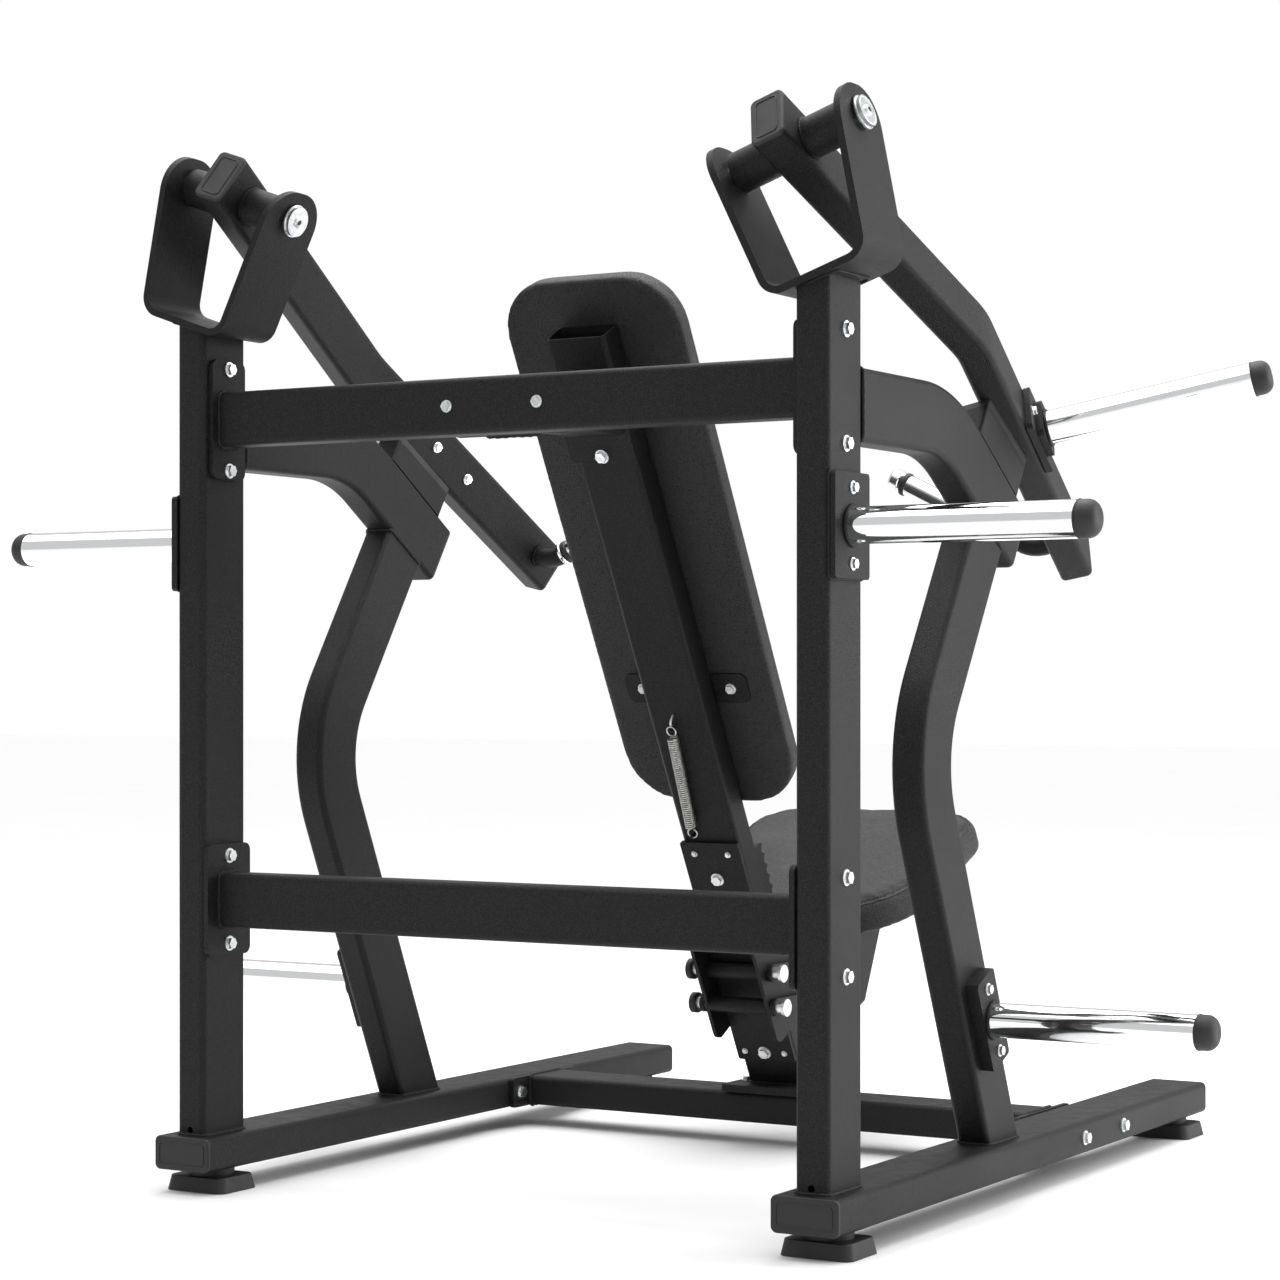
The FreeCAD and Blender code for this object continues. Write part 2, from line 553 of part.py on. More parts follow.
parts["seat_link_upper"] = link_pair(shaft_points[0], PIN_CLEARANCE)
parts["seat_link_lower"] = link_pair(shaft_points[1], LOOSE)
tip = radians(SEAT_TILT)
seat_way = V(0, -cos(tip), sin(tip))
seat_up = V(0, sin(tip), cos(tip))
seat_rear = V(0, *SEAT_REAR)
front_pins = [point + link_way * LINK_LENGTH for point in shaft_points]
under = seat_rear + seat_way * (SEAT[1] / 2)
top_plate = rounded_face(under - seat_up * PLATE, X, seat_way, 2 * frame_out, SEAT[1] - 140, 10)
seat_frame = top_plate.extrude(seat_up * PLATE)
for side in (-1, 1):
    inner = X * (side * frame_in)
    a = under - seat_up * (PLATE / 2) - seat_way * 90
    b = under - seat_up * (PLATE / 2) + seat_way * 90
    low_end = front_pins[1] - seat_up * 26
    high_end = front_pins[0]
    ring = [a + inner, b + inner, low_end + seat_way * 26 + inner, low_end - seat_way * 26 + inner,
            high_end - seat_way * 34 + inner, a + inner]
    cheek_plate = Part.Face(Part.makePolygon(ring)).extrude(X * (side * PLATE))
    seat_frame = seat_frame.fuse(cheek_plate)
for point in front_pins:
    seat_frame = seat_frame.fuse(rod(LINK_PIN, point - X * frame_out, X, 2 * frame_out))
lever_pivot = front_pins[0] + seat_way * 62 - seat_up * 6 + X * frame_out
seat_frame = seat_frame.fuse(rod(LEVER_ROD, lever_pivot - X * 2, X, 26))
lug = rounded_face(lever_pivot - X * PLATE, seat_way, seat_up, 40, 40, 8).extrude(X * PLATE)
seat_frame = seat_frame.fuse(lug)
parts["seat_frame"] = seat_frame
hub = rod(LEVER_ROD + 12, lever_pivot + X * 3, X, 14).cut(rod(LEVER_ROD + 2 * PIN_CLEARANCE, lever_pivot, X, 40))
lever_start = lever_pivot + X * 10 + seat_way * (LEVER_ROD / 2 + 4)
lever_turn = lever_start + seat_way * 60
lever_end = lever_turn + (seat_way + X * 0.62).normalize() * 120
lever_line = [lever_start, lever_turn, lever_end]
lever = rod(LEVER_ROD, lever_start, seat_way, 60)
outward = (lever_end - lever_turn).normalize()
lever = lever.fuse([Part.makeSphere(LEVER_ROD / 2, lever_turn), rod(LEVER_ROD, lever_turn, outward, 120), hub])
knob = rod(28, lever_end - outward * 24, outward, 60)
knob = knob.makeFillet(9, [e for e in knob.Edges if e.Closed])
parts["seat_lever"] = lever.cut(knob)
parts["lever_knob"] = knob


def seat_slab(inset, lift, thick):
    """Seat outline with smaller corners in front and larger ones behind."""
    pieces = []
    for end, corner in ((1, SEAT_CORNERS[0] - inset), (-1, SEAT_CORNERS[1] - inset)):
        long = SEAT[1] - 2 * inset
        face = rounded_face(under + seat_up * lift, X, seat_way, SEAT[0] - 2 * inset, long, corner)
        keep = rounded_face(under + seat_up * lift + seat_way * (end * long / 2), X, seat_way, 2 * SEAT[0], long, 0)
        pieces.append(face.extrude(seat_up * thick).common(keep.extrude(seat_up * thick)))
    return pieces[0].fuse(pieces[1]).removeSplitter()


parts["seat_board"] = seat_slab(PAD_MARGIN, 0.0, SEAT_BOARD)
cushion = seat_slab(0.0, SEAT_BOARD, SEAT[2] - SEAT_BOARD)
cushion = cushion.makeFillet(18.0, [e for e in cushion.Edges
                                    if abs((e.CenterOfMass - under).dot(seat_up) - SEAT[2]) < 1.0])
parts["seat_pad"] = cushion

# Tension spring between two eyes on the back post's rear face
eye_high = on_back(SPRING[1], EYE_LIFT) + X * 8
eye_low = on_back(SPRING[2], EYE_LIFT) + X * 20
spring_way = (eye_low - eye_high).normalize()
coil_start = eye_high + spring_way * 12
coil_length = (eye_low - eye_high).Length - 24
coil = rod(SPRING[0], coil_start, spring_way, coil_length)
rings = [Part.makeTorus(8, 1.6, point, back_rear) for point in (eye_high + spring_way * 3.8, eye_low - spring_way * 3.8)]
parts["seat_spring"] = coil.fuse(rings)
hooks = [rod(5, on_back(SPRING[1], -1.0) + X * 8, back_rear, 18),
         rod(5, on_back(SPRING[2], -1.0) + X * 20, back_rear, 18)]
parts["back_post"] = parts["back_post"].fuse(hooks)

# Press arm: bent tube through a pivot housing, with a handle stub
arm_line = [PIVOT - ALONG * ARM_REAR, on_arm(ARM_BEND), on_arm(ARM_LENGTH)]
arm = tube(arm_line, ARM_UP, ARM_TALL, TUBE_THIN, ARM_RADIUS)
half_housing = BRACKET_GAP / 2 - HOUSING_OUTER / 2 * splay - SIDE_GAP - 1
housing = rod(HOUSING_OUTER, in_pivot(-half_housing, 0, 0), AXIS, 2 * half_housing)
handle_root = on_arm(HANDLE_AT)
stub_end = handle_root - AXIS * HANDLE_STUB
turn = radians(HANDLE_TURN)
grip_way = AXIS * -cos(turn) + RISE * sin(turn)
shift = HANDLE_RADIUS * tan(turn / 2)
circle = Part.Face(Part.Wire(Part.makeCircle(HANDLE_TUBE / 2, stub_end + AXIS * shift, AXIS * -1)))
elbow = circle.revolve(stub_end + AXIS * shift + RISE * HANDLE_RADIUS, Y, HANDLE_TURN)
stub = rod(HANDLE_TUBE, handle_root, AXIS * -1, HANDLE_STUB - shift)
solid_arm = tube_run(arm_line, ARM_UP, ARM_TALL, TUBE_THIN, TUBE_CORNER, ARM_RADIUS)
outside_stub = stub.fuse(elbow).cut(solid_arm)
arm = arm.fuse([housing, outside_stub])
arm = drilled(arm, in_pivot(-200, 0, 0), AXIS, 400, PIVOT_PIN + 2 * PIN_CLEARANCE)
both("press_arm", arm)
grip_start = stub_end + grip_way * shift
grip = rod(GRIP, grip_start, grip_way, GRIP_LENGTH)
grip = grip.makeFillet(4, [e for e in grip.Edges if e.Closed])
collar = rod(GRIP + 8, grip_start, grip_way, 6)
both("hand_grip", grip.fuse(collar))
horn_root = on_arm(ARM_HORN_AT) + LOWER_OUT * (TUBE_THIN / 2)
arm_plate = rounded_face(horn_root, ARM_UP, LOWER_WAY, ARM_PLATE[0], ARM_PLATE[1], 6).extrude(LOWER_OUT * ARM_PLATE[2])
arm_nuts = []
collar_plate = rounded_face(horn_root + LOWER_OUT * ARM_PLATE[2], ARM_UP, LOWER_WAY, HORN + 14, HORN + 14, 8)
arm_horn_start = horn_root + LOWER_OUT * (2 * ARM_PLATE[2])
arm_plate = arm_plate.fuse(collar_plate.extrude(LOWER_OUT * ARM_PLATE[2]))
for side in (-1, 1):
    spot = horn_root + LOWER_WAY * (side * 46)
    arm_nuts.append(bolt_head(spot + LOWER_OUT * ARM_PLATE[2], LOWER_OUT, SMALL_BOLT))
    arm_nuts.append(bolt_head(spot - LOWER_OUT * TUBE_THIN, LOWER_OUT * -1, SMALL_BOLT))
both("arm_horn_plate", arm_plate)
both("arm_horn", Part.makeCompound([rod(HORN, arm_horn_start, LOWER_OUT, ARM_HORN_LENGTH)] + arm_nuts))
arm_plugs = [plug(arm_line[0], ALONG * -1, ARM_UP, ARM_TALL, TUBE_THIN),
             plug(arm_line[2], LOWER_WAY, ARM_UP, ARM_TALL, TUBE_THIN),
             horn_cap(arm_horn_start + LOWER_OUT * ARM_HORN_LENGTH, LOWER_OUT)]
both("arm_caps", Part.makeCompound(arm_plugs))

# Stop: a rubber-topped block between the side rail's slope and the resting arm
rail_up = X.cross(rail_way) * -1
stop_middle = rail_corner + rail_way * (sum(STOP_AT) / 2) + rail_up * (TUBE_WIDE / 2)
stop_face = rounded_face(stop_middle, rail_way, X, STOP_AT[1] - STOP_AT[0], STOP_WIDE, 5)
under_arm = on_arm(STOP_AT[1] + 300) - ARM_UP * (ARM_TALL / 2 + REST_GAP)
beside_arm = LOWER_WAY.cross(ARM_UP)
lid = rounded_face(under_arm, LOWER_WAY, beside_arm, 1200, 1200, 0)
block = stop_face.extrude(rail_up * 160).cut(lid.extrude(ARM_UP * 400))
rubber = block.common(lid.extrude(ARM_UP * -STOP_RUBBER))
both("stop_rubber", rubber)
both("stop_bracket", block.cut(lid.extrude(ARM_UP * -400).common(lid.extrude(ARM_UP * -STOP_RUBBER))))

# Origin: middle of the footprint, on the floor
everything = Part.makeCompound(list(parts.values())).BoundBox
origin = V(0, -(everything.YMin + everything.YMax) / 2, FOOT_HEIGHT)
os.makedirs("parts", exist_ok=True)
for name, shape in parts.items():
    shape.translate(origin)
    shape.exportStep("parts/" + name + ".step")
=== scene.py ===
"""Looks of the plate-loaded chest press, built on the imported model."""
import json
import math

import bpy
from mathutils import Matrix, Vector
from mathutils.bvhtree import BVHTree


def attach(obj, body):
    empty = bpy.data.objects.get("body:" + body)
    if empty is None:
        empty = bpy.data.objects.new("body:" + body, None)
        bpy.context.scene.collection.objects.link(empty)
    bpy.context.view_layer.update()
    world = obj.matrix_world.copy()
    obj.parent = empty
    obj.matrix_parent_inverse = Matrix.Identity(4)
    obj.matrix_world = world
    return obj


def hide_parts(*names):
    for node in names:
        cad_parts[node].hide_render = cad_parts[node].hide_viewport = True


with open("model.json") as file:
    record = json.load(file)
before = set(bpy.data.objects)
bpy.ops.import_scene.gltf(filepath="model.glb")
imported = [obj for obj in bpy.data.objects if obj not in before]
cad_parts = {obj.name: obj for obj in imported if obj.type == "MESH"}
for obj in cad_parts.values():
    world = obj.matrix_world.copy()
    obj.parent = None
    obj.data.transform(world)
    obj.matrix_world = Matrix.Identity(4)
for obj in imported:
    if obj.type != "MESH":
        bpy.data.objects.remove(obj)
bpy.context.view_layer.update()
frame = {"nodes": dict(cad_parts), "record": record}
nodes = frame["nodes"]
SIDES = (("left", 1.0), ("right", -1.0))
X, Y, Z = Vector((1, 0, 0)), Vector((0, 1, 0)), Vector((0, 0, 1))


# ---------------------------------------------------------------- node materials

class Socket:
    """A shader socket that can be added, subtracted, multiplied and divided."""

    def __init__(self, graph, output):
        self.graph = graph
        self.output = output
        self.wide = output.type in ("VECTOR", "RGBA")

    def combine(self, other, operation, swapped=False):
        pair = (other, self) if swapped else (self, other)
        wide = any(isinstance(item, Socket) and item.wide for item in pair)
        kind = "ShaderNodeVectorMath" if wide else "ShaderNodeMath"
        spread = [(item,) * 3 if wide and isinstance(item, (int, float)) else item for item in pair]
        return self.graph.node(kind, {"operation": operation}, {0: spread[0], 1: spread[1]})

    def __add__(self, other):
        return self.combine(other, "ADD")

    def __radd__(self, other):
        return self.combine(other, "ADD", True)

    def __sub__(self, other):
        return self.combine(other, "SUBTRACT")

    def __rsub__(self, other):
        return self.combine(other, "SUBTRACT", True)

    def __mul__(self, other):
        return self.combine(other, "MULTIPLY")

    def __rmul__(self, other):
        return self.combine(other, "MULTIPLY", True)

    def __truediv__(self, other):
        return self.combine(other, "DIVIDE")

    def __rtruediv__(self, other):
        return self.combine(other, "DIVIDE", True)

    def step(self, low, high, start=0.0, end=1.0):
        """Smooth ramp from start at low to end at high."""
        return self.graph.node("ShaderNodeMapRange", {"interpolation_type": "SMOOTHSTEP"},
                               {0: self, 1: low, 2: high, 3: start, 4: end})

    def part(self, index):
        return self.graph.node("ShaderNodeSeparateXYZ", {}, {0: self}, index)


class Graph:
    """One material's node tree round a Principled BSDF."""

    def __init__(self, name, **constants):
        self.material = bpy.data.materials.new(name)
        self.material.use_nodes = True
        self.tree = self.material.node_tree
        self.shader = next(n for n in self.tree.nodes if n.type == "BSDF_PRINCIPLED")
        for socket, value in constants.items():
            self.shader.inputs[socket.replace("_", " ")].default_value = value

    def node(self, kind, settings, sockets, output=0):
        made = self.tree.nodes.new(kind)
        for key, value in settings.items():
            setattr(made, key, value)
        for key, value in sockets.items():
            self.feed(made.inputs[key], value)
        return Socket(self, made.outputs[output])

    def feed(self, target, value):
        if isinstance(value, Socket):
            self.tree.links.new(value.output, target)
        else:
            target.default_value = value

    def drive(self, name, value):
        self.feed(self.shader.inputs[name], value)

    def vector(self, value):
        """A fixed vector as a socket."""
        return self.node("ShaderNodeCombineXYZ", {}, dict(enumerate(value)))

    def place(self, scale=(1.0, 1.0, 1.0)):
        """Object coordinates, in metres, stretched."""
        return self.node("ShaderNodeTexCoord", {}, {}, "Object") * self.vector(scale)

    def noise(self, where, scale, detail=2.0, rough=0.5):
        return self.node("ShaderNodeTexNoise", {}, {"Vector": where, "Scale": scale, "Detail": detail,
                                                    "Roughness": rough}, "Fac")

    def cells(self, where, scale, feature="F1"):
        return self.node("ShaderNodeTexVoronoi", {"feature": feature}, {"Vector": where, "Scale": scale},
                         "Distance")

    def blend(self, amount, first, second):
        return self.node("ShaderNodeMix", {"data_type": "RGBA"}, {0: amount, 6: first, 7: second}, 2)

    def bump(self, height, strength, distance, below=None):
        sockets = {"Height": height, "Strength": strength, "Distance": distance}
        if below is not None:
            sockets["Normal"] = below
        return self.node("ShaderNodeBump", {}, sockets, "Normal")

    def upward(self):
        return self.node("ShaderNodeNewGeometry", {}, {}, "Normal").part(2)


def tone(value, warm=0.0):
    """A grey, a little redder where warm is above nothing."""
    return (value * (1 + warm), value, value * (1 - warm), 1.0)


def powder_coat():
    """Fine-textured black powder coat with faint dust on top and small rubbed spots."""
    g = Graph("powder_coat", IOR=1.42)
    g.shader.inputs["Specular IOR Level"].default_value = 0.26
    where = g.place()
    grain = g.noise(where, 620.0, 2.0, 0.65)
    fine = g.cells(where, 520.0)
    cloud = g.noise(where, 5.0, 3.0)
    dust = g.upward().step(0.5, 0.98) * g.noise(where, 38.0, 4.0).step(0.38, 0.72)
    rubbed = g.noise(g.place((3.0, 9.0, 9.0)), 6.0, 5.0, 0.7).step(0.66, 0.78)
    speck = grain.step(0.38, 0.72)
    base = g.blend(speck, tone(0.003), tone(0.021))
    base = g.blend(dust * 0.08, base, tone(0.10, 0.03))
    base = g.blend(rubbed * 0.10, base, tone(0.05))
    g.drive("Base Color", base)
    g.drive("Roughness", 0.40 + cloud * 0.14 + dust * 0.12 - rubbed * 0.08)
    rough = g.bump(grain, 0.8, 0.0009)
    g.drive("Normal", g.bump(fine, 0.25, 0.0005, rough))
    return g.material


def chrome(name="chrome_sleeve", bright=0.93, dull=0.045):
    """Polished chrome with sliding marks along the sleeve and a few dull prints."""
    g = Graph(name, Metallic=1.0)
    where = g.place()
    marks = g.noise(g.place((14.0, 900.0, 900.0)), 1.0, 3.0, 0.6)
    rings = g.noise(g.place((700.0, 9.0, 9.0)), 1.0, 2.0, 0.5)
    prints = g.noise(where, 26.0, 4.0, 0.6).step(0.5, 0.75)
    g.drive("Base Color", g.blend(prints * 0.35, tone(bright, -0.01), tone(bright - 0.11, -0.01)))
    g.drive("Roughness", dull + prints * 0.10 + marks.step(0.55, 0.8) * 0.06 + rings.step(0.6, 0.85) * 0.08)
    g.drive("Normal", g.bump(marks + rings * 0.5, 0.05, 0.0002))
    return g.material


def zinc():
    """Bright zinc plating, slightly blotched, with faint turning marks."""
    g = Graph("zinc_plate", Metallic=1.0)
    where = g.place()
    blotch = g.noise(where, 130.0, 3.0)
    grain = g.noise(g.place((900.0, 900.0, 140.0)), 1.0, 2.0)
    base = g.blend(blotch.step(0.35, 0.7), (0.80, 0.81, 0.83, 1), (0.62, 0.63, 0.62, 1))
    g.drive("Base Color", base)
    g.drive("Roughness", 0.20 + blotch * 0.18 + grain * 0.06)
    g.drive("Normal", g.bump(grain, 0.12, 0.0002))
    return g.material


def rubber(name="moulded_rubber", base=0.008):
    """Matt black rubber with a fine moulded skin and a light bloom."""
    g = Graph(name, IOR=1.5)
    where = g.place()
    skin = g.noise(where, 900.0, 2.0, 0.6)
    bloom = g.noise(where, 18.0, 5.0, 0.6).step(0.45, 0.8)
    mixed = g.blend(bloom * 0.4, tone(base), tone(base * 2.4, 0.02))
    g.drive("Base Color", g.blend(skin.step(0.5, 0.8) * 0.3, mixed, tone(base * 3.0)))
    g.drive("Roughness", 0.52 + bloom * 0.18 + skin * 0.06)
    g.drive("Normal", g.bump(skin, 0.35, 0.0004))
    return g.material


def plastic():
    """Moulded black plastic with a spark-eroded texture."""
    g = Graph("moulded_plastic", IOR=1.46)
    where = g.place()
    spark = g.cells(where, 950.0)
    cloud = g.noise(where, 30.0, 3.0)
    g.drive("Base Color", g.blend(cloud, tone(0.007), tone(0.013)))
    g.drive("Roughness", 0.36 + cloud * 0.14 + spark * 0.1)
    g.drive("Normal", g.bump(spark, 0.35, 0.0003))
    return g.material


def vinyl(name="grained_vinyl", crease=0.5):
    """Black upholstery vinyl: fine leather grain, soft wrinkles and worn sheen where people lie."""
    g = Graph(name, IOR=1.5)
    g.shader.inputs["Specular IOR Level"].default_value = 0.38
    where = g.place()
    warped = where + g.node("ShaderNodeTexNoise", {}, {"Vector": where, "Scale": 160.0}, "Color") * 0.003
    pebble = g.cells(warped, 330.0, "DISTANCE_TO_EDGE")
    small = g.cells(warped, 760.0)
    wave = g.noise(where, 16.0, 3.0, 0.55)
    worn = g.noise(where, 7.0, 4.0, 0.6).step(0.48, 0.72)
    groove = pebble.step(0.0, 0.16)
    base = g.blend(groove, tone(0.003), tone(0.026))
    base = g.blend(worn * 0.25, base, tone(0.030, 0.02))
    dust = g.upward().step(0.6, 1.0) * g.noise(where, 60.0, 4.0).step(0.5, 0.8)
    base = g.blend(dust * 0.12, base, tone(0.12, 0.03))
    g.drive("Base Color", base)
    g.drive("Roughness", 0.50 + (1.0 - groove) * 0.16 - worn * 0.12)
    g.drive("Normal", g.bump(wave, crease, 0.004, g.bump(groove * 0.7 + small * 0.3, 0.8, 0.0010)))
    return g.material


def wire():
    """Galvanised spring wire with a little grime between turns."""
    g = Graph("spring_wire", Metallic=1.0)
    where = g.place()
    grime = g.noise(where, 240.0, 3.0)
    base = g.blend(grime.step(0.35, 0.7), (0.78, 0.78, 0.77, 1), (0.42, 0.41, 0.39, 1))
    g.drive("Base Color", base)
    g.drive("Roughness", 0.24 + grime * 0.25)
    g.drive("Normal", g.bump(grime, 0.15, 0.0002))
    return g.material


def studio_floor():
    """Pale seamless floor with very faint scuffs."""
    g = Graph("studio_floor")
    where = g.place()
    cloud = g.noise(where, 1.6, 4.0)
    g.drive("Base Color", g.blend(cloud, tone(0.93), tone(0.90)))
    g.drive("Roughness", 0.55 + cloud * 0.2)
    g.drive("Normal", g.bump(g.noise(where, 240.0), 0.05, 0.0005))
    return g.material


MATERIALS = {"black_steel": powder_coat(), "black_plastic": plastic(), "black_rubber": rubber(),
             "chrome": chrome(), "zinc_hardware": zinc(), "spring_steel": wire(),
             "black_vinyl": vinyl(), "black_board": vinyl("board_vinyl", 0.15)}
GRIP_CHROME = chrome("grip_chrome", 0.66, 0.10)
COLLAR_RUBBER = rubber("collar_rubber", 0.006)


# ---------------------------------------------------------------- mesh helpers

def make(name, points, faces, slot, body, smooth=True, material=None):
    """A mesh piece in its slot's material that rides on a body."""
    mesh = bpy.data.meshes.new(name)
    mesh.from_pydata([tuple(p) for p in points], [], faces)
    mesh.validate()
    for polygon in mesh.polygons:
        polygon.use_smooth = smooth
    piece = bpy.data.objects.new(name, mesh)
    bpy.context.scene.collection.objects.link(piece)
    finish_piece(piece, slot, body, material)
    return piece


def finish_piece(piece, slot, body, material=None):
    piece.data.materials.clear()
    piece.data.materials.append(material or MATERIALS[slot])
    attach(piece, body)


def soften(piece, width, least_angle):
    """Round off a piece's edges so that they catch the light."""
    edge = piece.modifiers.new("softened_edges", "BEVEL")
    edge.width = width
    edge.segments = 2
    edge.limit_method = "ANGLE"
    edge.angle_limit = math.radians(least_angle)
    edge.harden_normals = True


def join_lists(pieces):
    """Several (points, faces) as one."""
    points, faces = [], []
    for some_points, some_faces in pieces:
        offset = len(points)
        points += some_points
        faces += [tuple(index + offset for index in face) for face in some_faces]
    return points, faces


def frames_along(path, closed):
    """Tangent and a steady side vector at each point of a path."""
    count = len(path)
    tangents = []
    for i in range(count):
        before = path[i - 1] if closed or i > 0 else path[i]
        after = path[(i + 1) % count] if closed or i < count - 1 else path[i]
        tangents.append((after - before).normalized())
    side = tangents[0].cross(Z)
    if side.length < 0.1:
        side = tangents[0].cross(Y)
    sides = []
    for tangent in tangents:
        side = (side - tangent * side.dot(tangent)).normalized()
        sides.append(side.copy())
    return tangents, sides


def skin(rings, closed=False):
    """Points and faces over rings of one count, ended flat unless they run back to the first."""
    around = len(rings[0])
    points = [point for ring in rings for point in ring]
    faces = []
    for i in range(len(rings) if closed else len(rings) - 1):
        j = (i + 1) % len(rings)
        for k in range(around):
            n = (k + 1) % around
            faces.append((i * around + k, i * around + n, j * around + n, j * around + k))
    if not closed:
        last = (len(rings) - 1) * around
        faces.append(tuple(range(around))[::-1])
        faces.append(tuple(last + k for k in range(around)))
    return points, faces


def circle(centre, side, up, radius, around):
    return [centre + (side * math.cos(angle) + up * math.sin(angle)) * radius
            for angle in (2 * math.pi * k / around for k in range(around))]


def square_to(axis):
    """Two directions square to an axis and to each other."""
    side = axis.orthogonal().normalized()
    return side, axis.cross(side)


def sweep(path, radius, around=10, closed=False):
    """Round bar along a path; radius may be a function of the index."""
    tangents, sides = frames_along(path, closed)
    rings = []
    for i, centre in enumerate(path):
        size = radius(i) if callable(radius) else radius
        rings.append(circle(centre, sides[i], tangents[i].cross(sides[i]), size, around))
    return skin(rings, closed)


def lathe(start, axis, profile, around=48):
    """Turned shape: profile is (distance along axis, radius) pairs, closed at both ends."""
    axis = axis.normalized()
    side, up = square_to(axis)
    return skin([circle(start + axis * along, side, up, size, around) for along, size in profile])


def ring_path(centre, axis, radius, count):
    side, up = square_to(axis.normalized())
    return circle(centre, side, up, radius, count)


def outline(centre, u, v, half_u, half_v, corners, steps, grow=0.0):
    """Rounded rectangle with its own radius at each corner: (+u+v), (-u+v), (-u-v), (+u-v)."""
    points = []
    for (su, sv, first), corner in zip(((1, 1, 0), (-1, 1, 90), (-1, -1, 180), (1, -1, 270)), corners):
        size = corner + grow
        for k in range(steps + 1):
            angle = math.radians(first + 90 * k / steps)
            points.append(centre + u * (su * (half_u - corner) + size * math.cos(angle))
                          + v * (sv * (half_v - corner) + size * math.sin(angle)))
    return points


def evenly(points, spacing):
    """The same closed outline with its long runs divided."""
    path = []
    for i, point in enumerate(points):
        following = points[(i + 1) % len(points)]
        steps = max(1, int((following - point).length / spacing))
        path += [point.lerp(following, k / steps) for k in range(steps)]
    return path


def box_path(centre, u, v, half_u, half_v, corner):
    """Outline of a tube's section."""
    return evenly(outline(centre, u, v, half_u, half_v, [corner] * 4, 4), 0.004)


def weld(name, path, body, size=0.0032):
    """Painted fillet weld: a rippled bead along a closed path."""
    ripple = [size * (1 + 0.16 * math.sin(1.9 * i) + 0.08 * math.sin(0.61 * i + 1.3))
              for i in range(len(path))]
    points, faces = sweep(path, lambda i: ripple[i], 8, True)
    return make(name, points, faces, "black_steel", body)


def mirrored(vector, side):
    return Vector((vector[0] * side, vector[1], vector[2]))


# ---------------------------------------------------------------- where things are, in metres

REAR = 0.6044306841933195      # the rear posts' middle plane
GROUND = 0.034                 # underside of the base tubes
FRAME_HALF = 0.514             # middle plane of each side frame
TUBE_WIDE, TUBE_THIN, TUBE_CORNER = 0.100, 0.050, 0.009
OUTER = FRAME_HALF + TUBE_THIN / 2
BASE_REAR, BASE_FRONT = 0.066, 1.281
FLANGE = 0.0085                # the tubes' end flanges, and a little for the bead
UPPER_BAR_Z, LOWER_BAR_Z, BAR_TALL = 1.105, 0.396, 0.080
CROSS_MEMBER_Y = 0.835
ON_FACE = 0.0005               # a bead's middle stands this far off the face it lies on
LEAN = math.radians(28.4)
BACK_UP = Vector((0, math.sin(LEAN), math.cos(LEAN)))
BACK_REAR = Vector((0, math.cos(LEAN), -math.sin(LEAN)))
BACK_TOP = Vector((0, REAR - 0.192, GROUND + 1.217))
SEAT_TIP = math.radians(22.0)
SEAT_WAY = Vector((0, -math.cos(SEAT_TIP), math.sin(SEAT_TIP)))
SEAT_UP = Vector((0, math.sin(SEAT_TIP), math.cos(SEAT_TIP)))
SEAT_REAR = Vector((0, REAR - 0.826, GROUND + 0.300))
TILT = math.radians(19.0)
DROP = math.radians(29.1)
KINK = math.radians(14.05)
PIVOT = Vector((0.4626, REAR, GROUND + 1.426))
AXIS = Vector((math.cos(TILT), 0, math.sin(TILT)))
RISE = Vector((-math.sin(TILT), 0, math.cos(TILT)))
ALONG = Vector((0, -math.cos(DROP), 0)) - RISE * math.sin(DROP)
ARM_UP = ALONG.cross(AXIS)
ARM_WAY = ALONG * math.cos(KINK) - AXIS * math.sin(KINK)
ARM_OUT = AXIS * math.cos(KINK) + ALONG * math.sin(KINK)
ARM_REAR, ARM_BEND, ARM_LENGTH, ARM_TALL = 0.062, 0.465, 1.015, 0.080
HANDLE_AT, HANDLE_STUB, HANDLE_RADIUS = 0.962, 0.054, 0.060
GRIP_WAY = (RISE - AXIS).normalized()
RAIL_DROP = math.radians(33.4)
RAIL_WAY = Vector((0, -math.cos(RAIL_DROP), -math.sin(RAIL_DROP)))
RAIL_UP = Vector((0, RAIL_WAY.z, -RAIL_WAY.y))
RAIL_Z, RAIL_FRONT = 1.085, 0.284
RAIL_CORNER = Vector((FRAME_HALF, REAR - 0.330, GROUND + RAIL_Z))
LEG_LEAN = math.radians(24.2)
LEG_BEND = (-0.2577, 0.6159)
LEG_OFFSET = 0.088             # leg's middle plane behind the rail's end
POST_HORN_Z, LEG_HORN_Z, ARM_HORN_AT = 0.922, 0.235, 0.700


def on_back(height, behind=0.0):
    """Middle of the back post's rear face at a height above the base's underside."""
    fall = BACK_TOP.z - GROUND - height
    return BACK_TOP - BACK_UP * (fall / math.cos(LEAN)) + BACK_REAR * behind


def on_arm(distance):
    return PIVOT + ALONG * distance - AXIS * (max(distance - ARM_BEND, 0.0) * math.tan(KINK))


def on_leg(height):
    """Middle of the leg's lower stretch at a height above the base's underside."""
    rear = REAR + LEG_BEND[0] - math.tan(LEG_LEAN) * (LEG_BEND[1] - height)
    return Vector((FRAME_HALF, rear, GROUND + height))


# ---------------------------------------------------------------- the CAD nodes' finishes

for entry in frame["record"]["subparts"]:
    part = nodes[entry["node"]]
    part.data.materials.clear()
    part.data.materials.append(MATERIALS[entry["material_slot"]])
    if entry["material_slot"] in ("black_steel", "zinc_hardware", "chrome", "black_plastic"):
        soften(part, 0.0008, 40)


# ---------------------------------------------------------------- upholstery

PAD_STEPS = 16                 # points round each corner of a pad
CLOTH_FRAMES = 20


